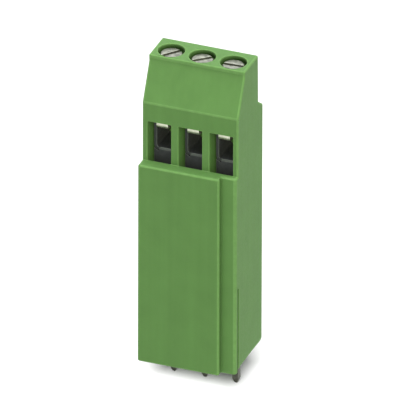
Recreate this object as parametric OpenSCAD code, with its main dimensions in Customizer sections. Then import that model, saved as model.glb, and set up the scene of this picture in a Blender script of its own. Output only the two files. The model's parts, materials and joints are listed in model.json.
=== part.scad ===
// High one-row screw terminal for circuit boards: a tall moulded housing with a stepped
// front plate, and in each pole a rising clamp cage, its captive screw, a current bar and
// a square solder pin. X runs along the row, Y runs back from the wire entries and Z up.
// The origin is the middle of the pin row on the board's surface.

/* [Poles] */
// Number of poles in the row
poles = 3; // [2:1:6]
// Distance between neighbouring poles
pitch = 5.08; // [5:0.01:6.35]

/* [Housing outline] */
// Wall between an outer chamber and the side face
side_wall = 0.85; // [0.6:0.05:1.2]
// Height of the top face above the board
body_h = 51.2; // [50.7:0.1:53]
// Depth of the base behind the wire entry face
base_depth = 10.5; // [10.3:0.1:12]
// Height of the base's lower edge above the board
base_gap = 0.6; // [0.4:0.05:0.9]
// Depth of the head's foot behind the wire entry face
head_depth = 8.6; // [8.4:0.05:9]
// How far the head's back leans in up to the top face
head_draft = 0.1; // [0:0.05:0.4]
// Height of the foot of the head's back
shoulder_z = 43.05; // [42:0.05:44]
// Fall of the shoulder from the head's foot to the base's back
shoulder_drop = 1.3; // [0.8:0.1:2]
// Height of the crease between the wire entry face and the sloping face
crease_z = 44.2; // [43:0.1:46]
// How far the sloping face runs back
slope_run = 2.6; // [2:0.1:2.8]
// Height of the upright lip between the sloping face and the top
lip_h = 0.9; // [0.5:0.1:1.5]
// Rounding of the outer edges
edge_r = 0.3; // [0.15:0.05:0.35]

/* [Front plate] */
// Height of the front plate, whose top is the ledge below the wire entries
plate_h = 34.2; // [33:0.1:34.6]
// How far the wide panel stands out from the wire entry face
panel_proud = 1.9; // [1.2:0.1:3]
// Width of the set-back strip beside the panel
strip_w = 2.4; // [1.5:0.1:4]
// How far the set-back strip stands out from the wire entry face
strip_proud = 0.8; // [0.5:0.1:1.1]
// Width of the slot that frees the lower plate from the side walls
slot_w = 0.45; // [0.3:0.05:0.6]
// Height of that slot
slot_h = 14.65; // [8:0.05:20]

/* [Chambers] */
// Width of each pole's chamber and of its wire entry
chamber_w = 3.87; // [3.8:0.01:3.95]
// Height of the wire entry's upper edge
entry_top = 41; // [40.6:0.1:41.6]
// Thickness of the wall above each wire entry
lintel_t = 1.5; // [1:0.05:1.5]
// Depth of the chamber's front wall below the wire entry
shaft_front = 0.2; // [0.1:0.05:0.3]

/* [Screw] */
// Distance of the screws behind the wire entry face
screw_depth = 5.1; // [5.05:0.05:5.15]
// Diameter of the screw's threaded shank
screw_d = 2.5; // [2.4:0.05:2.55]
// Diameter of the screw's head
head_d = 3.45; // [3.4:0.05:3.8]
// Height of the screw's head
head_h = 2; // [1.6:0.1:2.2]
// How far the head lies below the top face
head_recess = 0.5; // [0.3:0.1:0.9]
// Width of the driver slot
driver_w = 0.6; // [0.4:0.05:0.8]
// Depth of the driver slot
driver_depth = 0.9; // [0.6:0.1:1.2]
// Diameter of the blunt point that bears on the bar
point_d = 1.8; // [1.4:0.1:1.9]
// Length of the blunt point
point_h = 0.7; // [0.4:0.1:1]
// Diameter of the hole that the head sits in
head_hole_d = 4.1; // [4:0.05:4.4]
// Radial clearance of the shank in the housing and in the cage
shank_clear = 0.05; // [0.03:0.01:0.08]

/* [Clamp cage] */
// Outer width of the cage
cage_w = 3.6; // [3.5:0.01:3.65]
// Length of the cage from front to back
cage_len = 5.2; // [4.6:0.1:5.2]
// Thickness of the cage's sheet
sheet_t = 0.48; // [0.4:0.01:0.5]
// Inner radius of the cage's bends
bend_r = 0.3; // [0.2:0.05:0.45]
// Height of the clamping floor with the cage lowered
floor_z = 35.5; // [35.2:0.1:35.8]
// Height of the threaded collar over the cage's top
collar_h = 0.8; // [0.5:0.1:1]
// Rise of the cage from open to fully closed
rise = 3.5; // [2.5:0.1:3.5]
// Length of the skirt below the clamping floor, which keeps wires from passing under it
skirt_l = 5; // [4.8:0.1:8]
// Width of the notches beside the tongue that carries the skirt
notch_w = 0.15; // [0.1:0.05:0.3]
// Clearance between the cage and the front and back of its chamber
cage_clear = 0.1; // [0.05:0.01:0.15]

/* [Current bar] */
// Height of the bar's clamping face
bar_z = 39.2; // [39.2:0.05:39.5]
// Thickness of the bar's strip
bar_t = 0.8; // [0.6:0.05:0.8]
// Width of the bar's strip
bar_w = 2.2; // [2:0.05:2.4]
// Height of the front hook over the bar's clamping face
hook_h = 2.5; // [2:0.1:3]
// Depth of the bar's rear leg, to its back face
leg_depth = 9.1; // [8.9:0.05:9.2]
// Height of the foot's upper face, where the pin is staked
foot_z = 32.4; // [30:0.1:33.5]
// Length of the foot in front of the pin's centre
foot_toe = 1.2; // [1:0.1:1.5]
// Inner radius of the strip's bends
strip_bend_r = 0.25; // [0.15:0.05:0.4]
// Clearance between the bar and its channel in the housing
bar_clear = 0.05; // [0.03:0.01:0.1]

/* [Solder pin] */
// Distance of the pins behind the wire entry face
pin_depth = 6.6; // [6.4:0.1:7]
// Width of the square pin
pin_w = 1; // [0.8:0.05:1.1]
// Length of the pin below the board's upper surface
pin_l = 5.4; // [3.5:0.1:6]
// Length of the tapered tip
tip_h = 0.8; // [0.4:0.1:1.2]
// Width of the tip's blunt end
tip_w = 0.4; // [0.2:0.05:0.6]
// Diameter of the staked head on the foot
stake_d = 1.5; // [1.4:0.1:1.8]
// Height of the staked head
stake_h = 0.35; // [0.2:0.05:0.5]

/* [Pin guide] */
// Thickness of the guide's plate
guide_t = 1.6; // [1.2:0.1:2.5]
// Height of the plugs that enter the chambers
plug_h = 3; // [2:0.5:6]
// Clearance between the guide and the housing
guide_clear = 0.05; // [0.03:0.01:0.1]
// Clearance between the guide and each side of a pin
pin_clear = 0.05; // [0.03:0.01:0.1]
// Width of the two feet under the guide
foot_w = 1.8; // [1:0.1:2.5]

/* [Hidden] */
$fn = 48;
EDGE_FN = 16;
ARC_STEPS = 4;
CUT = 1;
LAP = 1;
SLOT_TURNS = [51, 42, 3];
TIP_GAP = 0.02;
HEAD_CHAMFER = 0.2;
POINT_CHAMFER = 0.25;
RIM_CHAMFER = 0.1;
SKIRT_CORNER = 0.5;
TOP_GAP = 0.1;
SEAM = 0.5;
CEILING_GAP = 0.25;
HOOK_GAP = 0.3;
GUIDE_RECESS = 0.3;

width = (poles - 1) * pitch + chamber_w + 2 * side_wall;
base_top = shoulder_z - shoulder_drop;
strip_x = width / 2 - strip_w;

cage_front = screw_depth - cage_len / 2;
cage_back = screw_depth + cage_len / 2;
cage_inner_w = cage_w - 2 * sheet_t;
bend_outer_r = bend_r + sheet_t;
skirt_top = floor_z - bend_outer_r;
tongue_w = cage_w - 2 * bend_outer_r - 2 * notch_w;
bar_top = bar_z + bar_t;
cage_ceiling = bar_top + TOP_GAP;
cage_top = cage_ceiling + 2 * sheet_t;
collar_top = cage_top + collar_h;

chamber_top = collar_top + rise + CEILING_GAP;
chamber_back = cage_back + cage_clear;
hook_front = lintel_t + bar_clear;
hook_top = bar_z + hook_h;
shank_hole_d = screw_d + 2 * shank_clear;
collar_d = cage_w;

head_top = body_h - head_recess;
head_seat = head_top - head_h;
screw_tip = bar_top + TIP_GAP;
head_hole_floor = head_seat - CEILING_GAP;

guide_floor = base_gap + GUIDE_RECESS;
guide_top = guide_floor + guide_t;
channel_back = leg_depth + bar_clear;

// Place of the pole's middle along the row, counted from 1 at the left
function pole_x(n) = (n - 1 - (poles - 1) / 2) * pitch;

// Place along Y of a point that lies this deep behind the wire entry face
function at_depth(d) = d - pin_depth;

function unit(v) = v / norm(v);
function left_of(v) = [-v.y, v.x];

// Corner b of an outline, between a and c, as an arc of radius r
function rounded_corner(a, b, c, r) =
    r == 0 ? [b] :
    let (
        u = unit(a - b),
        v = unit(c - b),
        half = acos(u * v) / 2,
        centre = b + unit(u + v) * r / sin(half),
        from = b + u * r / tan(half) - centre,
        to = b + v * r / tan(half) - centre,
        start = atan2(from.y, from.x),
        turn = atan2(cross(from, to), from * to)
    )
    [for (k = [0:ARC_STEPS])
        centre + r * [cos(start + turn * k / ARC_STEPS), sin(start + turn * k / ARC_STEPS)]];

// Outline whose corners [x, y, r] are rounded to their own radii
function rounded_outline(corners) =
    let (count = len(corners), xy = [for (c = corners) [c[0], c[1]]])
    [for (i = [0:count - 1])
        each rounded_corner(xy[(i + count - 1) % count], xy[i], xy[(i + 1) % count], corners[i][2])];

// Direction of the stretch that starts at point i of an open path
function heading(path, i) =
    let (k = max(0, min(i, len(path) - 2))) unit(path[k + 1] - path[k]);

// Point i of a path moved s to its left, with the radius of the bend there
function strip_corner(path, i, s, t, r) =
    let (
        before = heading(path, i - 1),
        after = heading(path, i),
        a = left_of(before),
        b = left_of(after),
        p = path[i] + (a + b) * s / (1 + a * b),
        bend = cross(before, after),
        outside = bend * s < 0
    )
    [p.x, p.y, bend == 0 || i == 0 || i == len(path) - 1 ? 0 : outside ? r + t : r];

// Outline of a strip of thickness t bent along a path with inner radius r
function bent_strip(path, t, r) =
    let (last = len(path) - 1)
    rounded_outline(concat(
        [for (i = [0:last]) strip_corner(path, i, t / 2, t, r)],
        [for (i = [last:-1:0]) strip_corner(path, i, -t / 2, t, r)]
    ));

// Stands an outline drawn as depth and height upright, between two places along X
module along_x(x0, x1) {
    translate([x0, at_depth(0), 0])
        rotate([90, 0, 90])
            linear_extrude(x1 - x0)
                children();
}

// Block between two places along X, its side view the outline, with every edge rounded
module moulded_block(x0, x1, outline) {
    hull()
        for (angle = [0:30:90]) {
            inset = edge_r * (1 - cos(angle));
            along_x(x0 + inset, x1 - inset)
                offset(r = edge_r * sin(angle), $fn = EDGE_FN)
                    offset(delta = -edge_r)
                        polygon(outline);
        }
}

// Box between two depths and two heights, centred on one place along X
module cell(x, w, d0, d1, z0, z1) {
    translate([x - w / 2, at_depth(d0), z0])
        cube([w, d1 - d0, z1 - z0]);
}

module base_form() {
    moulded_block(-width / 2, width / 2, [
        [0, base_gap], [base_depth, base_gap], [base_depth, base_top],
        [head_depth, shoulder_z], [0, shoulder_z]
    ]);
}

module head_form() {
    moulded_block(-width / 2, width / 2, [
        [0, plate_h - 2 * LAP], [head_depth, plate_h - 2 * LAP], [head_depth, shoulder_z],
        [head_depth - head_draft, body_h], [slope_run, body_h], [slope_run, body_h - lip_h],
        [0, crease_z]
    ]);
}

module front_plate_form() {
    moulded_block(-width / 2, strip_x, [
        [-panel_proud, 0], [LAP, 0], [LAP, plate_h], [-panel_proud, plate_h]
    ]);
    moulded_block(strip_x - 2 * LAP, width / 2, [
        [-strip_proud, 0], [LAP, 0], [LAP, plate_h], [-strip_proud, plate_h]
    ]);
}

// Everything that one pole takes out of the moulding
module pole_space(n) {
    x = pole_x(n);
    // wire entry and the chamber behind it, open all the way down
    cell(x, chamber_w, shaft_front, chamber_back, -CUT, entry_top);
    cell(x, chamber_w, -CUT, shaft_front + LAP, plate_h, entry_top);
    // room behind the lintel for the bar's hook, then for the risen cage
    cell(x, chamber_w, lintel_t, chamber_back, plate_h, hook_top + HOOK_GAP);
    cell(x, chamber_w, cage_front - cage_clear, chamber_back, plate_h, chamber_top);
    // channel for the bar's rear leg
    cell(x, bar_w + 2 * bar_clear, screw_depth, channel_back, -CUT, bar_top + bar_clear);
    // screw's guide and the hole for its head
    translate([x, at_depth(screw_depth), 0]) {
        translate([0, 0, plate_h])
            cylinder(d = shank_hole_d, h = body_h - plate_h);
        translate([0, 0, head_hole_floor])
            cylinder(d = head_hole_d, h = body_h);
        translate([0, 0, body_h - RIM_CHAMFER])
            cylinder(d1 = head_hole_d, d2 = head_hole_d + 4 * RIM_CHAMFER, h = 2 * RIM_CHAMFER);
    }
}

module housing() {
    color([0.42, 0.6, 0.33])
        difference() {
            union() {
                base_form();
                head_form();
                front_plate_form();
            }
            for (n = [1:poles])
                pole_space(n);
            // slot between the lower plate and the walls behind it, which end above the board
            cell(0, width + 2 * CUT, 0, slot_w, -CUT, slot_h);
            cell(0, width + 2 * CUT, 0, 2 * LAP, -CUT, base_gap);
            // recess for the pin guide
            cell(0, width - 2 * side_wall, slot_w, channel_back, -CUT, guide_top);
        }
}

module pin_guide() {
    plate_w = width - 2 * side_wall - 2 * guide_clear;
    plug_w = chamber_w - 2 * guide_clear;
    hole_w = pin_w + 2 * pin_clear;
    front = slot_w + guide_clear;
    color([0.4, 0.57, 0.31])
        difference() {
            union() {
                cell(0, plate_w, front, channel_back - guide_clear, guide_floor, guide_top);
                for (n = [1:poles])
                    cell(pole_x(n), plug_w, front + LAP, chamber_back - guide_clear,
                        guide_floor, guide_top + plug_h);
                for (side = [-1, 1])
                    cell(side * (plate_w / 2 - foot_w / 2 - LAP), foot_w,
                        channel_back - guide_clear - foot_w, channel_back - guide_clear,
                        0, guide_floor + LAP);
            }
            for (n = [1:poles])
                cell(pole_x(n), hole_w, pin_depth - hole_w / 2, pin_depth + hole_w / 2,
                    -CUT, body_h);
        }
}

module screw(n) {
    chamfer = min(HEAD_CHAMFER, head_h / 2);
    color([0.72, 0.72, 0.68])
        translate([pole_x(n), at_depth(screw_depth), 0])
            rotate(SLOT_TURNS[(n - 1) % len(SLOT_TURNS)])
                difference() {
                    rotate_extrude()
                        polygon([
                            [0, screw_tip],
                            [point_d / 2, screw_tip],
                            [point_d / 2, screw_tip + point_h],
                            [screw_d / 2 - POINT_CHAMFER, screw_tip + point_h],
                            [screw_d / 2, screw_tip + point_h + POINT_CHAMFER],
                            [screw_d / 2, head_seat],
                            [head_d / 2, head_seat],
                            [head_d / 2, head_top - chamfer],
                            [head_d / 2 - chamfer, head_top],
                            [0, head_top]
                        ]);
                    translate([-head_d, -driver_w / 2, head_top - driver_depth])
                        cube([2 * head_d, driver_w, driver_depth + CUT]);
                }
}

// Front view of the wound strip: one layer round the window and a second over its top
module cage_outline() {
    half = cage_w / 2;
    inner_half = cage_inner_w / 2;
    difference() {
        polygon(rounded_outline([
            [-half, floor_z - sheet_t, bend_outer_r],
            [half, floor_z - sheet_t, bend_outer_r],
            [half, cage_top, bend_outer_r],
            [SEAM - half, cage_top, 0],
            [SEAM - half, cage_top - sheet_t, 0],
            [-half, cage_top - sheet_t, bend_r]
        ]));
        polygon(rounded_outline([
            [-inner_half, floor_z, bend_r],
            [inner_half, floor_z, bend_r],
            [inner_half, cage_ceiling, bend_r],
            [-inner_half, cage_ceiling, bend_r]
        ]));
    }
}

// Front view of the skirt below the floor
module skirt_outline() {
    half = cage_w / 2;
    polygon(rounded_outline([
        [-half, skirt_top, 0],
        [-half, floor_z - skirt_l, SKIRT_CORNER],
        [half, floor_z - skirt_l, SKIRT_CORNER],
        [half, skirt_top, 0]
    ]));
}

// Tongue that turns down from the floor's front end, seen from the side
module tongue_outline() {
    front = cage_front + sheet_t / 2;
    level = floor_z - sheet_t / 2;
    polygon(bent_strip([
        [screw_depth, level], [front, level], [front, skirt_top - sheet_t]
    ], sheet_t, bend_r));
}

module clamp_cage(n) {
    x = pole_x(n);
    color([0.55, 0.56, 0.56])
        difference() {
            union() {
                difference() {
                    translate([x, at_depth(screw_depth), 0])
                        rotate([90, 0, 0])
                            linear_extrude(cage_len, center = true)
                                cage_outline();
                    cell(x, tongue_w + 2 * notch_w, cage_front - CUT, cage_front + bend_outer_r,
                        floor_z - 2 * sheet_t, floor_z + sheet_t);
                }
                along_x(x - tongue_w / 2, x + tongue_w / 2)
                    tongue_outline();
                translate([x, at_depth(cage_front) + sheet_t, 0])
                    rotate([90, 0, 0])
                        linear_extrude(sheet_t)
                            skirt_outline();
                translate([x, at_depth(screw_depth), cage_ceiling + sheet_t])
                    cylinder(d = collar_d, h = collar_top - cage_ceiling - sheet_t);
            }
            translate([x, at_depth(screw_depth), cage_ceiling - CUT])
                cylinder(d = shank_hole_d, h = collar_top - cage_ceiling + 2 * CUT);
        }
}

module current_bar(n) {
    x = pole_x(n);
    hook = hook_front + bar_t / 2;
    leg = leg_depth - bar_t / 2;
    run = bar_z + bar_t / 2;
    foot = foot_z - bar_t / 2;
    color([0.85, 0.83, 0.74])
        difference() {
            along_x(x - bar_w / 2, x + bar_w / 2)
                polygon(bent_strip([
                    [hook, hook_top], [hook, run], [leg, run], [leg, foot],
                    [pin_depth - foot_toe, foot]
                ], bar_t, strip_bend_r));
            cell(x, pin_w, pin_depth - pin_w / 2, pin_depth + pin_w / 2,
                foot_z - 2 * bar_t, foot_z + CUT);
        }
}

// Side view of the pin, pointed at its lower end
module pin_outline() {
    polygon([
        [-tip_w / 2, -pin_l], [tip_w / 2, -pin_l],
        [pin_w / 2, tip_h - pin_l], [pin_w / 2, foot_z],
        [-pin_w / 2, foot_z], [-pin_w / 2, tip_h - pin_l]
    ]);
}

module solder_pin(n) {
    color([0.62, 0.62, 0.6])
        translate([pole_x(n), 0, 0]) {
            intersection() {
                rotate([90, 0, 0])
                    linear_extrude(2 * pin_w, center = true)
                        pin_outline();
                rotate([90, 0, 90])
                    linear_extrude(2 * pin_w, center = true)
                        pin_outline();
            }
            translate([0, 0, foot_z])
                cylinder(d = stake_d, h = stake_h);
        }
}

housing();
pin_guide();
for (n = [1:poles]) {
    screw(n);
    clamp_cage(n);
    current_bar(n);
    solder_pin(n);
}
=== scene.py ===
"""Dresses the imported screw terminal: rounded mouldings, threaded screws, plated sheet metal."""

import json
import math

import bmesh
import bpy
from mathutils import Matrix, Quaternion, Vector


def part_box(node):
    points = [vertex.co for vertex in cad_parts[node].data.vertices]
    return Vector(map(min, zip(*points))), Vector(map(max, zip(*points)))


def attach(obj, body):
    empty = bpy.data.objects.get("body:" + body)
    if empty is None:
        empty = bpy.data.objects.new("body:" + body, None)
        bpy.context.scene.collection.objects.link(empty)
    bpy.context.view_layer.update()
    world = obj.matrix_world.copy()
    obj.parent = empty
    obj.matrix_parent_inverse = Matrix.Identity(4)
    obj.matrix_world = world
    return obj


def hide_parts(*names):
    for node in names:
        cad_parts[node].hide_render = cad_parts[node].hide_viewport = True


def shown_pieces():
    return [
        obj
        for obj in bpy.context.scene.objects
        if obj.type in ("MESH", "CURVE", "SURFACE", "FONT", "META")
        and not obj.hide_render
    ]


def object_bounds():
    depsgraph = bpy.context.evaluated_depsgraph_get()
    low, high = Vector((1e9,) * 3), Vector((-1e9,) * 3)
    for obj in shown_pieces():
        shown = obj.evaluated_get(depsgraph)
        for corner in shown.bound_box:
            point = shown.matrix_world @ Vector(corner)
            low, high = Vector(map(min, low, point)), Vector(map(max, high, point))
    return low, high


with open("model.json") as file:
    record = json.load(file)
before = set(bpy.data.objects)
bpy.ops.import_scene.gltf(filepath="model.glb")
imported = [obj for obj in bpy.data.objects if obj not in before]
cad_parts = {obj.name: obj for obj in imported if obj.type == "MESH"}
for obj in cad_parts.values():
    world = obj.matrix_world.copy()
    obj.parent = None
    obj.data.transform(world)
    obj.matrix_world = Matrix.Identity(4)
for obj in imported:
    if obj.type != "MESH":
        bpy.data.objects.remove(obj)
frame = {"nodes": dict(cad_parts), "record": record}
cad_low, cad_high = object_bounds()

MM = 0.001
POLES = (1, 2, 3)

# Screws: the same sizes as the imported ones, with the thread cut into the shank
SHANK_R = 1.25 * MM
SHANK_NECK = 0.1 * MM
THREAD_PITCH = 0.45 * MM
THREAD_DEPTH = 0.27 * MM
THREAD_STEPS = 8
THREAD_LEAD_IN = 0.6 * MM
THREAD_ROOT = 0.1
THREAD_FLANK = 0.75
POINT_R = 0.9 * MM
POINT_H = 0.7 * MM
POINT_CHAMFER = 0.15 * MM
HEAD_H = 2.0 * MM
HEAD_ROUND = 0.22 * MM
HEAD_CHAMFER = 0.12 * MM
HEAD_FLAT = 0.4
HEAD_UNDERSIDE = 0.3 * MM
RING_COUNT = 48
DRIVER_W = 0.6 * MM
DRIVER_DEPTH = 0.9 * MM
DRIVER_EDGE = 0.045 * MM
SLOT_TURNS = {1: 51, 2: 42, 3: 3}

# Housing: places that its box doesn't give
CREASE_Z = 44.2 * MM
CREASE_HALF_BAND = 0.2 * MM
LIP_H = 1.2 * MM
LIP_CUT = 0.45 * MM
# Height of the lip's top band that gets a painted highlight
LIP_HIGHLIGHT_BAND = 0.6 * MM
STRIP_BACK = 1.1 * MM
STRIP_LEAST_W = 1.0 * MM
BASE_GAP = 0.6 * MM
ROUND_R = 0.3 * MM
FOOT_ROUND = 0.8 * MM
CORNER_ROUND = 0.5 * MM

# Current bars and cages: their bends, and the notches beside the tongue that carries the skirt
HOOK_H = 2.5 * MM
HOOK_TRIM = 0.25 * MM
BAR_BEND_R = 1.05 * MM
BAR_COINING = 1.2
CAGE_BEND_R = 0.78 * MM
CAGE_COINING = 1.28
SKIRT_L = 5.0 * MM
TONGUE_W = 1.74 * MM
NOTCH_FILL = 0.12 * MM
NOTCH_NEAR = 0.07 * MM
SHOULDER_RISE = 0.5 * MM

# Rounding of the sharp edges
HOUSING_EDGE = 0.1 * MM
GUIDE_EDGE = 0.06 * MM
CAGE_EDGE = 0.05 * MM
BAR_EDGE = 0.06 * MM
PIN_EDGE = 0.05 * MM

# Mesh work
WELD = 0.002 * MM
SHORT = 0.045 * MM
NARROW = 0.2 * MM
FLAT = math.radians(0.4)
SHARP = math.radians(38)
HARD = math.radians(50)
BLUNT = math.radians(12)

# Face attribute for the materials: above 0 a painted highlight (full on rounded edges, less on the
# lip's top band and the cage's bend), 0 plain, -1 painted shade on the groove wall
EDGE_MARK = "edge_mark"
EDGE_HIGHLIGHT = 1.0
LIP_HIGHLIGHT_LEVEL = 0.8
BEND_HIGHLIGHT_LEVEL = 0.55
PLAIN = 0.0
GROOVE_SHADE_MARK = -1.0

# Camera: an orthographic view from the front right and above
VIEW_AZIMUTH = 21.3
VIEW_ELEVATION = 28.9
VIEW_ROLL = 0.11
VIEW_WIDTH = 61.07 * MM
VIEW_AIM = Vector((-0.94, 0.0, 25.12)) * MM
VIEW_DISTANCE = 0.6

# Noise scales of the skins, per metre
CLOUD_SCALE = 260
STREAK_SCALE = 900
SPECKLE_SCALE = 9000
# Noise that makes the painted edge highlight uneven on plastic
EDGE_HIGHLIGHT_NOISE_SCALE = 1500
SHEEN_SCALE = 3000
GRAIN_SCALE = 14000
PATCH_SCALE = 1400
LINE_SCALE = 9000
# Noise that makes the painted edge highlight uneven on metal
METAL_EDGE_HIGHLIGHT_NOISE_SCALE = 2500

# Ways that a noise is drawn out: where a plastic flowed, and where a strip was rolled
FLOW = (1, 1, 0.03)
ALONG_Z = (1, 1, 0.05)
ALONG_Y = (1, 0.05, 1)
ALL_WAYS = (1, 1, 1)

# Painted shade: the tone in narrow recesses, from ambient occlusion, and the tone of the groove
# wall
RECESS_SHADE_TONE = 0.5
RECESS_REACH = 3 * MM
GROOVE_SHADE_TONE = 0.78

# Light levels: the world's, and the floor's as the camera sees it and as it lights the part
AMBIENT = 0.3
FLOOR_SEEN = 0.8
FLOOR_BOUNCE = 0.4
FLOOR_HALF_W = 1.5
FLOOR_DROP = 0.02 * MM
WARM_WHITE = (1.0, 0.98, 0.62)


def direction(azimuth, elevation):
    """Unit vector towards a place seen at this azimuth and elevation from the object."""
    a, e = math.radians(azimuth), math.radians(elevation)
    return Vector((math.sin(a) * math.cos(e), -math.cos(a) * math.cos(e), math.sin(e)))


# ---------------------------------------------------------------- materials


def new_tree(material):
    """Empty node tree of a new material, with its output."""
    material.use_nodes = True
    tree = material.node_tree
    tree.nodes.clear()
    return tree, tree.nodes.new("ShaderNodeOutputMaterial")


def add(tree, kind, inputs=None, **settings):
    """Adds a node, sets its settings, and links or fills its inputs."""
    made = tree.nodes.new(kind)
    for name, value in settings.items():
        setattr(made, name, value)
    for key, value in (inputs or {}).items():
        if isinstance(value, bpy.types.NodeSocket):
            tree.links.new(value, made.inputs[key])
        else:
            made.inputs[key].default_value = value
    return made


def noise(tree, scale, detail=3.0, stretch=(1, 1, 1)):
    """Noise in the piece's own coordinates, drawn out along the axes where stretch is below 1."""
    place = add(tree, "ShaderNodeTexCoord").outputs["Object"]
    place = add(tree, "ShaderNodeMapping", {"Vector": place, "Scale": stretch}).outputs["Vector"]
    return add(
        tree, "ShaderNodeTexNoise", {"Vector": place, "Scale": scale, "Detail": detail}
    ).outputs["Fac"]


def spread(tree, factor, low, high, start=0.3, end=0.7):
    """Maps a factor's middle range to low..high."""
    return add(
        tree,
        "ShaderNodeMapRange",
        {"Value": factor, "From Min": start, "From Max": end, "To Min": low, "To Max": high},
    ).outputs["Result"]


def times(tree, a, b):
    return add(tree, "ShaderNodeMath", {0: a, 1: b}, operation="MULTIPLY").outputs[0]


def tint(tree, colour, factor):
    """Colour made lighter or darker by a factor."""
    scaled = add(tree, "ShaderNodeVectorMath", {0: colour, "Scale": factor}, operation="SCALE")
    return scaled.outputs[0]


def blend_colour(tree, factor, a, b):
    mix = add(tree, "ShaderNodeMix", data_type="RGBA")
    for key, value in ((0, factor), (6, a), (7, b)):
        if isinstance(value, bpy.types.NodeSocket):
            tree.links.new(value, mix.inputs[key])
        else:
            mix.inputs[key].default_value = value if key == 0 else (*value, 1)
    return mix.outputs[2]


def edge_mark(tree):
    """The mark that the mesh work left on the face: above 0 a painted highlight, below 0 painted
    shade.
    """
    return add(tree, "ShaderNodeAttribute", attribute_name=EDGE_MARK).outputs["Fac"]


def recess_shade(tree):
    """Painted shade in narrow recesses: the colour is darker where ambient occlusion finds near
    surfaces.
    """
    reached = add(
        tree, "ShaderNodeAmbientOcclusion", {"Distance": RECESS_REACH}, samples=8
    ).outputs["AO"]
    return spread(tree, reached, RECESS_SHADE_TONE, 1.0, 0.1, 0.75)


def moulded_plastic(name, colour, pale):
    """Matt polyamide: cloudy tone, faint flow streaks, fine grain; painted shade in recesses and on
    the groove wall, painted highlights on marked edges.
    """
    material = bpy.data.materials.new(name)
    tree, output = new_tree(material)
    clouds = spread(tree, noise(tree, CLOUD_SCALE, 4), 0.96, 1.04)
    streaks = spread(tree, noise(tree, STREAK_SCALE, 3, FLOW), 0.965, 1.035)
    speckle = spread(tree, noise(tree, SPECKLE_SCALE, 2), 0.985, 1.015)
    # Painted shade in recesses multiplies the random tone
    tone = times(tree, times(tree, clouds, streaks), times(tree, speckle, recess_shade(tree)))
    # Painted shade on the groove wall, where the mark is below 0
    tone = times(tree, tone, spread(tree, edge_mark(tree), GROOVE_SHADE_TONE, 1.0, GROOVE_SHADE_MARK, PLAIN))
    # Painted highlight: marked edge faces take the paler colour, made uneven by noise
    painted_highlight = times(tree, edge_mark(tree), spread(tree, noise(tree, EDGE_HIGHLIGHT_NOISE_SCALE, 3), 0.6, 1.0))
    skin = tint(tree, blend_colour(tree, painted_highlight, colour, pale), tone)
    grain = add(
        tree,
        "ShaderNodeBump",
        {"Height": noise(tree, GRAIN_SCALE, 3), "Strength": 0.25, "Distance": 0.02 * MM},
    ).outputs["Normal"]
    shader = add(
        tree,
        "ShaderNodeBsdfPrincipled",
        {
            "Base Color": skin,
            "Roughness": spread(tree, noise(tree, SHEEN_SCALE, 2), 0.5, 0.6),
            "IOR": 1.5,
            "Specular IOR Level": 0.15,
            "Subsurface Weight": 0.2,
            "Subsurface Radius": (0.6, 1.0, 0.4),
            "Subsurface Scale": 0.5 * MM,
            "Normal": grain,
        },
    )
    tree.links.new(shader.outputs[0], output.inputs["Surface"])
    return material


def plated_metal(name, colour, dull, edge, rough, drawn, metallic=1.0):
    """Plated metal: drawing lines along one axis, cloudy dulled patches, and painted highlights in
    the edge colour on marked faces.
    """
    material = bpy.data.materials.new(name)
    tree, output = new_tree(material)
    patches = spread(tree, noise(tree, PATCH_SCALE, 4), 0.0, 1.0, 0.35, 0.65)
    lines = noise(tree, LINE_SCALE, 3, drawn)
    skin = blend_colour(tree, times(tree, patches, 0.75), colour, dull)
    # Painted highlight: marked edge faces take the edge colour, made uneven by noise
    painted_highlight = times(tree, edge_mark(tree), spread(tree, noise(tree, METAL_EDGE_HIGHLIGHT_NOISE_SCALE, 3), 0.5, 1.0))
    skin = blend_colour(tree, painted_highlight, skin, edge)
    brushed = add(
        tree, "ShaderNodeBump", {"Height": lines, "Strength": 0.2, "Distance": 0.01 * MM}
    ).outputs["Normal"]
    shader = add(
        tree,
        "ShaderNodeBsdfPrincipled",
        {
            "Base Color": skin,
            "Metallic": metallic,
            "Roughness": spread(tree, lines, rough - 0.06, rough + 0.08),
            "Normal": brushed,
        },
    )
    tree.links.new(shader.outputs[0], output.inputs["Surface"])
    return material


# The second colour of each plastic and the third colour of each metal are painted edge highlights
MATERIALS = {
    "housing_plastic": moulded_plastic(
        "housing_plastic", (0.109, 0.237, 0.067), (0.152, 0.31, 0.096)
    ),
    "guide_plastic": moulded_plastic(
        "guide_plastic", (0.095, 0.215, 0.05), (0.14, 0.285, 0.085)
    ),
    "screw_steel": plated_metal(
        "screw_steel", (0.34, 0.35, 0.3), (0.1, 0.11, 0.09), (0.42, 0.44, 0.38), 0.4, ALL_WAYS, 0.85
    ),
    # Very dark cage colours: partly a dark plating, partly painted shade of the deep wire entries
    "cage_steel": plated_metal(
        "cage_steel",
        (0.053, 0.057, 0.063),
        (0.037, 0.041, 0.046),
        (0.19, 0.215, 0.2),
        0.6,
        ALONG_Y,
        0.15,
    ),
    "bar_metal": plated_metal(
        "bar_metal", (0.68, 0.7, 0.56), (0.54, 0.56, 0.44), (0.75, 0.77, 0.62), 0.42, ALONG_Z
    ),
    # Very dark pin colours: painted shade, as the tinned pins stand in the shadow under the body
    "pin_metal": plated_metal(
        "pin_metal", (0.1, 0.103, 0.082), (0.05, 0.051, 0.042), (0.14, 0.143, 0.115), 0.36, ALONG_Z
    ),
}

SLOT_OF = {s["node"]: s["material_slot"] for s in frame["record"]["subparts"]}
BODY_OF = {
    node: body for body, nodes in frame["record"]["behaviour"]["bodies"].items() for node in nodes
}

# ---------------------------------------------------------------- mesh work


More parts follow.
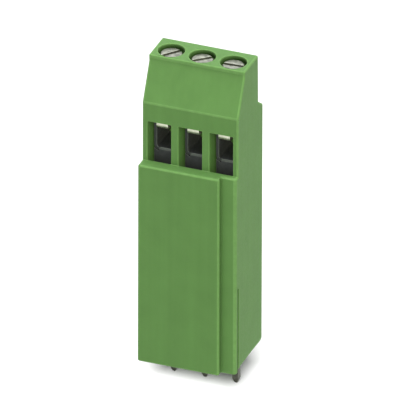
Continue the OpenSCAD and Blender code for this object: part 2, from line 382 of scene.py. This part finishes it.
def finish_piece(bm, name, node):
    """Makes the piece that stands for a CAD node, rides on its body and has its material."""
    low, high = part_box(node)
    for vert in bm.verts:
        vert.co = [min(max(c, a), b) for c, a, b in zip(vert.co, low, high)]
    bmesh.ops.recalc_face_normals(bm, faces=bm.faces)
    for face in bm.faces:
        face.smooth = True
    for edge in bm.edges:
        edge.smooth = not is_crease(edge)
    mesh = bpy.data.meshes.new(name)
    bm.to_mesh(mesh)
    bm.free()
    mesh.materials.append(MATERIALS[SLOT_OF[node]])
    piece = bpy.data.objects.new(name, mesh)
    bpy.context.scene.collection.objects.link(piece)
    flat_faces = piece.modifiers.new("flat_faces", "WEIGHTED_NORMAL")
    flat_faces.keep_sharp = True
    flat_faces.weight = 90
    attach(piece, BODY_OF[node])
    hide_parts(node)
    return piece


def is_narrow(face):
    """Whether a face is a thin strip."""
    return face.calc_area() < NARROW * max(e.calc_length() for e in face.edges)


def is_crease(edge):
    """Whether two faces meet in a crease: a sharp angle, or a blunt one between broad faces."""
    if not edge.is_manifold:
        return True
    angle = edge.calc_face_angle()
    return angle > HARD or angle > BLUNT and not any(is_narrow(f) for f in edge.link_faces)


def cut_level(bm, geometry, z):
    """Cuts the geometry along a level plane."""
    return bmesh.ops.bisect_plane(
        bm, geom=geometry, dist=WELD, plane_co=(0, 0, z), plane_no=(0, 0, 1)
    )


def mark_layer(bm):
    return bm.faces.layers.float.get(EDGE_MARK) or bm.faces.layers.float.new(EDGE_MARK)


def welded(node):
    """A CAD node's surface with its faces joined up and its flat faces undivided."""
    bm = bmesh.new()
    bm.from_mesh(frame["nodes"][node].data)
    bmesh.ops.remove_doubles(bm, verts=bm.verts, dist=WELD)
    bmesh.ops.dissolve_degenerate(bm, dist=SHORT, edges=bm.edges)
    bmesh.ops.dissolve_limit(
        bm, angle_limit=FLAT, use_dissolve_boundaries=False, verts=bm.verts, edges=bm.edges
    )
    return bm


def soften(bm, width, keep=lambda edge: True):
    """Rounds the sharp edges that keep() allows, and marks the new faces for a painted highlight.
    """
    edges = [e for e in bm.edges if e.is_manifold and e.calc_face_angle() > SHARP and keep(e)]
    layer = mark_layer(bm)
    made = bmesh.ops.bevel(
        bm,
        geom=edges,
        offset=width,
        offset_type="OFFSET",
        segments=2,
        profile=0.5,
        affect="EDGES",
        clamp_overlap=False,
    )
    for face in made["faces"]:
        face[layer] = EDGE_HIGHLIGHT


def mark_rounding(bm):
    """Marks the narrow faces that already round an outer edge, for a painted highlight."""
    layer = mark_layer(bm)
    for face in bm.faces:
        long_edges = sorted(face.edges, key=lambda e: e.calc_length())[-2:]
        if is_narrow(face) and all(e.calc_face_angle_signed() > 0 for e in long_edges):
            face[layer] = EDGE_HIGHLIGHT


def mark_crease(bm):
    """Marks a band along the crease over the wire entries for a painted highlight."""
    for z in (CREASE_Z - CREASE_HALF_BAND, CREASE_Z + CREASE_HALF_BAND):
        cut_level(bm, bm.verts[:] + bm.edges[:] + bm.faces[:], z)
    layer = mark_layer(bm)
    for face in bm.faces:
        height = face.calc_center_median().z - CREASE_Z
        if abs(height) < CREASE_HALF_BAND and face.normal.y < -0.7:
            face[layer] = EDGE_HIGHLIGHT


def cut_lip(bm, node):
    """Cuts the slope back below the top face, which leaves an upright lip there, and marks the
    lip's top band for a painted highlight.
    """
    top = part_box(node)[1].z
    foot = top - LIP_H
    front = [
        f for f in bm.faces
        if f.normal.y < -0.1 and min(v.co.z for v in f.verts) < foot < max(v.co.z for v in f.verts)
    ]
    around = {e for f in front for e in f.edges} | {v for f in front for v in f.verts}
    for each in cut_level(bm, front + list(around), foot)["geom_cut"]:
        if isinstance(each, bmesh.types.BMVert):
            each.co.y += LIP_CUT
    cut_level(bm, bm.verts[:] + bm.edges[:] + bm.faces[:], top - LIP_HIGHLIGHT_BAND)
    bm.normal_update()
    layer = mark_layer(bm)
    for face in bm.faces:
        if face.normal.y < -0.5 and face.calc_center_median().z > top - LIP_HIGHLIGHT_BAND:
            face[layer] = LIP_HIGHLIGHT_LEVEL


def shape_housing(bm, node):
    """What the housing gets before its edges are rounded."""
    mark_crease(bm)
    cut_lip(bm, node)


def widen_rounding(verts, axes, corner, radius):
    """Widens an outer edge's small rounding; the corner is where its two faces would meet."""
    for vert in verts:
        inward = Vector([corner[a] - vert.co[a] for a in axes])
        if all(abs(c) < ROUND_R + WELD for c in inward):
            for axis, depth in zip(axes, inward):
                vert.co[axis] = corner[axis] - depth * radius / ROUND_R


def mark_groove(bm, node):
    """Marks the wall of the groove beside the front panel for painted shade."""
    low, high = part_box(node)
    bm.normal_update()
    layer = mark_layer(bm)
    for face in bm.faces:
        middle = face.calc_center_median()
        beside_strip = middle.x < high.x - STRIP_LEAST_W
        behind_panel = ROUND_R < middle.y - low.y < STRIP_BACK + ROUND_R
        if beside_strip and behind_panel and face.normal.x > 0.3:
            face[layer] = GROOVE_SHADE_MARK


def round_housing(bm, node):
    """Marks the groove wall for painted shade, and widens the rounding of the strip's corner and of
    the back's foot.
    """
    mark_groove(bm, node)
    low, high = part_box(node)
    foot = Vector((0, high.y, low.z + BASE_GAP))
    widen_rounding(bm.verts, (1, 2), foot, FOOT_ROUND)
    corner = Vector((high.x, low.y + STRIP_BACK, 0))
    widen_rounding(bm.verts, (0, 1), corner, CORNER_ROUND)


def coin_bend(verts, centre, radius, most):
    """Squares up the outer side of a bend towards the front, as the press leaves it."""
    for vert in verts:
        arm = Vector((vert.co.y, vert.co.z)) - centre
        if arm.x < WELD and abs(arm.length - radius) < WELD:
            arm = arm * min(radius / max(map(abs, arm)), most)
            vert.co.y, vert.co.z = centre + arm


def shape_hook(bm, node):
    """Coins the foot of the bar's hook and trims one side of the hook."""
    low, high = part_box(node)
    foot = high.z - HOOK_H
    centre = Vector((low.y + BAR_BEND_R, foot + BAR_BEND_R))
    bend = [v for v in bm.verts if v.co.z < centre.y + WELD]
    coin_bend(bend, centre, BAR_BEND_R, BAR_COINING)
    for vert in bm.verts:
        if vert.co.y < centre.x and high.x - vert.co.x < WELD:
            vert.co.x -= HOOK_TRIM


def shape_cage(bm, node):
    """Coins the bend between the cage's floor and its skirt, and marks the front of that bend for a
    painted highlight.
    """
    low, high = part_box(node)
    centre = Vector((low.y + CAGE_BEND_R, low.z + SKIRT_L - CAGE_BEND_R))
    middle = (low.x + high.x) / 2
    tongue = [
        v for v in bm.verts
        if abs(v.co.x - middle) < TONGUE_W / 2 + WELD and v.co.z > centre.y - WELD
    ]
    coin_bend(tongue, centre, CAGE_BEND_R, CAGE_COINING)
    bm.normal_update()
    layer = mark_layer(bm)
    for face in {f for v in tongue for f in v.link_faces}:
        # Painted highlight on the front of the coined bend
        painted_highlight = centre.y + CAGE_BEND_R * 0.4 < min(v.co.z for v in face.verts)
        if painted_highlight and face.normal.y < -0.9:
            face[layer] = BEND_HIGHLIGHT_LEVEL


def close_notches(bm, node):
    """Brings the tongue's sides and the skirt's shoulders close to the cage's front corners."""
    low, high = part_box(node)
    middle = (low.x + high.x) / 2
    skirt_top = low.z + SKIRT_L - CAGE_BEND_R
    near = NOTCH_NEAR
    for vert in bm.verts:
        side = vert.co.x - middle
        front = vert.co.y < low.y + CAGE_BEND_R + near
        if front and abs(abs(side) - TONGUE_W / 2) < near and skirt_top - near < vert.co.z:
            if vert.co.z < low.z + SKIRT_L + near:
                vert.co.x += math.copysign(NOTCH_FILL, side)
        elif front and abs(side) > high.x - middle - 2 * near and abs(vert.co.z - skirt_top) < near:
            vert.co.z += SHOULDER_RISE
    layer = mark_layer(bm)
    for face in bm.faces:
        place = face.calc_center_median() - Vector((middle, low.y, skirt_top))
        beside = abs(abs(place.x) - TONGUE_W / 2 - NOTCH_FILL) < 3 * near
        if beside and place.y < CAGE_BEND_R + near and -near < place.z < CAGE_BEND_R + near:
            face[layer] = PLAIN


def dressed(node, name, width, before=None, after=None):
    """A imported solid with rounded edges; before and after do more to its mesh."""
    bm = welded(node)
    if before:
        before(bm, node)
    mark_rounding(bm)
    soften(bm, width)
    if after:
        after(bm, node)
    return finish_piece(bm, name, node)


# ---------------------------------------------------------------- screws


def thread_radius(z, angle):
    """Radius of a right-hand thread with rounded roots at this height and angle."""
    phase = (z / THREAD_PITCH - angle / (2 * math.pi)) % 1.0
    flank = abs(2 * phase - 1)
    crest = min(1.0, max(0.0, (flank - THREAD_ROOT) / THREAD_FLANK))
    return SHANK_R - THREAD_DEPTH * (1 - crest)


def ring(bm, z, radius_at, count):
    return [
        bm.verts.new((radius_at(a) * math.cos(a), radius_at(a) * math.sin(a), z))
        for a in (2 * math.pi * k / count for k in range(count))
    ]


def bridge(bm, low, high):
    count = len(low)
    for k in range(count):
        bm.faces.new((low[k], low[(k + 1) % count], high[(k + 1) % count], high[k]))


def screw_profile(low, high, head_r):
    """Rings of the screw from its point to its head, as height and a function of the angle."""

    def plain(radius):
        return lambda angle: radius

    seat = high - HEAD_H
    start = low + POINT_H
    rings = [
        (low, plain(POINT_R - POINT_CHAMFER)),
        (low + POINT_CHAMFER, plain(POINT_R)),
        (start, plain(POINT_R)),
    ]
    steps = int((seat - start) / THREAD_PITCH * THREAD_STEPS)
    for k in range(1, steps):
        z = start + (seat - start) * k / steps
        lead_in = min(1.0, (z - start) / THREAD_LEAD_IN)
        rings.append(
            (z, lambda a, z=z, t=lead_in: POINT_R + (thread_radius(z, a) - POINT_R) * t)
        )
    rings.append((seat, plain(SHANK_R - SHANK_NECK)))
    rings.append((seat, plain(head_r - HEAD_CHAMFER)))
    rings.append((seat + HEAD_CHAMFER, plain(head_r)))
    for turn in range(0, 91, 18):
        t = math.radians(turn)
        rings.append(
            (
                high - HEAD_ROUND * (1 - math.sin(t)),
                plain(head_r - HEAD_ROUND * (1 - math.cos(t))),
            )
        )
    rings.append((high, plain(head_r * HEAD_FLAT)))
    return rings


def cut_slot(piece, centre, top, turn, reach):
    """Cuts the driver slot across the head."""
    cutter_bm = bmesh.new()
    bmesh.ops.create_cube(cutter_bm, size=1.0)
    bmesh.ops.scale(cutter_bm, vec=(2 * reach, DRIVER_W, 2 * DRIVER_DEPTH), verts=cutter_bm.verts)
    bmesh.ops.rotate(
        cutter_bm, matrix=Matrix.Rotation(math.radians(turn), 3, "Z"), verts=cutter_bm.verts
    )
    bmesh.ops.translate(cutter_bm, vec=(centre.x, centre.y, top), verts=cutter_bm.verts)
    cutter_mesh = bpy.data.meshes.new("cutter")
    cutter_bm.to_mesh(cutter_mesh)
    cutter_bm.free()
    cutter = bpy.data.objects.new("cutter", cutter_mesh)
    bpy.context.scene.collection.objects.link(cutter)
    cut = piece.modifiers.new("slot", "BOOLEAN")
    cut.operation, cut.solver, cut.object = "DIFFERENCE", "EXACT", cutter
    bpy.context.view_layer.update()
    depsgraph = bpy.context.evaluated_depsgraph_get()
    bm = bmesh.new()
    bm.from_mesh(piece.evaluated_get(depsgraph).to_mesh())
    bpy.data.objects.remove(piece)
    bpy.data.objects.remove(cutter)
    return bm


def slotted_screw(n):
    """A threaded screw whose driver slot stands at its own angle."""
    node = f"screw_{n}"
    low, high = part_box(node)
    centre = (low + high) / 2
    head_r = max(high.x - low.x, high.y - low.y) / 2
    bm = bmesh.new()
    profile = screw_profile(low.z, high.z, head_r)
    rings = [ring(bm, z, radius, RING_COUNT) for z, radius in profile]
    for lower, upper in zip(rings, rings[1:]):
        bridge(bm, lower, upper)
    bm.faces.new(list(reversed(rings[0])))
    bm.faces.new(rings[-1])
    bmesh.ops.translate(bm, vec=(centre.x, centre.y, 0), verts=bm.verts)
    mesh = bpy.data.meshes.new("blank")
    bm.to_mesh(mesh)
    bm.free()
    blank = bpy.data.objects.new("blank", mesh)
    bpy.context.scene.collection.objects.link(blank)
    bm = cut_slot(blank, centre, high.z, SLOT_TURNS[n], 2 * head_r)
    above = high.z - HEAD_H + HEAD_UNDERSIDE
    soften(bm, DRIVER_EDGE, lambda e: min(v.co.z for v in e.verts) > above)
    return finish_piece(bm, f"clamp_screw_{n}", node)


# ---------------------------------------------------------------- the object

dressed("housing", "housing_moulding", HOUSING_EDGE, shape_housing, round_housing)
guide = dressed("pin_guide", "pin_guide_moulding", GUIDE_EDGE)

pins = []
for n in POLES:
    slotted_screw(n)
    dressed(f"clamp_cage_{n}", f"wound_cage_{n}", CAGE_EDGE, shape_cage, close_notches)
    dressed(f"current_bar_{n}", f"bent_bar_{n}", BAR_EDGE, shape_hook)
    pins.append(dressed(f"solder_pin_{n}", f"tinned_pin_{n}", PIN_EDGE))

# ---------------------------------------------------------------- floor, light and camera


def background_ray(tree):
    """1 for the rays that show the background: camera, glossy and transmission rays."""
    path = add(tree, "ShaderNodeLightPath")
    seen = path.outputs["Is Camera Ray"]
    for other in ("Is Glossy Ray", "Is Transmission Ray"):
        seen = add(
            tree, "ShaderNodeMath", {0: seen, 1: path.outputs[other]}, operation="MAXIMUM"
        ).outputs[0]
    return seen


def pale_world():
    """Even soft light from all round, on a white background."""
    world = bpy.data.worlds.new("studio")
    bpy.context.scene.world = world
    world.use_nodes = True
    tree = world.node_tree
    tree.nodes.clear()
    lit = add(tree, "ShaderNodeBackground", {"Color": (1, 1, 1, 1), "Strength": AMBIENT})
    seen = add(tree, "ShaderNodeBackground", {"Color": (1, 1, 1, 1), "Strength": 1.0})
    mixed = add(tree, "ShaderNodeMixShader", {0: background_ray(tree)})
    tree.links.new(lit.outputs[0], mixed.inputs[1])
    tree.links.new(seen.outputs[0], mixed.inputs[2])
    output = add(tree, "ShaderNodeOutputWorld")
    tree.links.new(mixed.outputs[0], output.inputs["Surface"])


def pale_floor():
    """White floor at the level of the pins' tips, which shows the shadow under the object."""
    bm = bmesh.new()
    bmesh.ops.create_grid(bm, x_segments=4, y_segments=4, size=FLOOR_HALF_W)
    bmesh.ops.translate(bm, vec=(0, 0, cad_low.z - FLOOR_DROP), verts=bm.verts)
    material = bpy.data.materials.new("floor_white")
    tree, output = new_tree(material)
    tone = spread(tree, background_ray(tree), FLOOR_BOUNCE, FLOOR_SEEN, 0, 1)
    tone = add(tree, "ShaderNodeCombineColor", {0: tone, 1: tone, 2: tone}).outputs[0]
    paper = add(tree, "ShaderNodeBsdfDiffuse", {"Color": tone})
    tree.links.new(paper.outputs[0], output.inputs["Surface"])
    mesh = bpy.data.meshes.new("floor")
    bm.to_mesh(mesh)
    bm.free()
    mesh.materials.append(material)
    made = bpy.data.objects.new("floor", mesh)
    bpy.context.scene.collection.objects.link(made)
    return made


def group_of(name, objects):
    """Collection outside the scene, for what a lamp lights or what shades it."""
    made = bpy.data.collections.new(name)
    for each in objects:
        made.objects.link(each)
    return made


def sun(name, azimuth, elevation, strength, softness, lights, shaded_by=None, colour=(1, 1, 1)):
    """Distant lamp as wide as a softbox, which lights one group and can be shaded by one alone."""
    lamp = bpy.data.lights.new(name, "SUN")
    lamp.energy = strength
    lamp.color = colour
    lamp.angle = math.radians(softness)
    holder = bpy.data.objects.new(name, lamp)
    holder.rotation_mode = "QUATERNION"
    holder.rotation_quaternion = direction(azimuth, elevation).to_track_quat("Z", "Y")
    bpy.context.scene.collection.objects.link(holder)
    holder.light_linking.receiver_collection = lights
    if shaded_by:
        holder.light_linking.blocker_collection = shaded_by


def camera():
    """The photographer's view."""
    data = bpy.data.cameras.new("camera")
    data.type = "ORTHO"
    data.ortho_scale = VIEW_WIDTH
    data.clip_start, data.clip_end = 0.01, 10
    back = direction(VIEW_AZIMUTH, VIEW_ELEVATION)
    holder = bpy.data.objects.new("camera", data)
    holder.rotation_mode = "QUATERNION"
    holder.location = VIEW_AIM + back * VIEW_DISTANCE
    roll = Quaternion((0, 0, 1), math.radians(VIEW_ROLL))
    holder.rotation_quaternion = back.to_track_quat("Z", "Y") @ roll
    bpy.context.scene.collection.objects.link(holder)
    bpy.context.scene.camera = holder


pale_world()
part_group = group_of("part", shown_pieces())
floor_group = group_of("floor", [pale_floor()])
base_group = group_of("base", [guide, *pins])

sun("top_light", azimuth=21, elevation=84, strength=3.4, softness=60, lights=part_group)
sun("front_light", azimuth=14, elevation=8, strength=0.92, softness=60, lights=part_group)
sun(
    "side_fill",
    azimuth=48,
    elevation=16,
    strength=1.35,
    softness=70,
    lights=part_group,
    shaded_by=floor_group,
    colour=WARM_WHITE,
)
sun("back_fill", azimuth=201, elevation=12, strength=1.1, softness=90, lights=part_group)
sun(
    "contact_light",
    azimuth=16.5,
    elevation=48.5,
    strength=5.6,
    softness=24,
    lights=floor_group,
    shaded_by=base_group,
)
camera()
bpy.context.scene.view_settings.view_transform = "Standard"
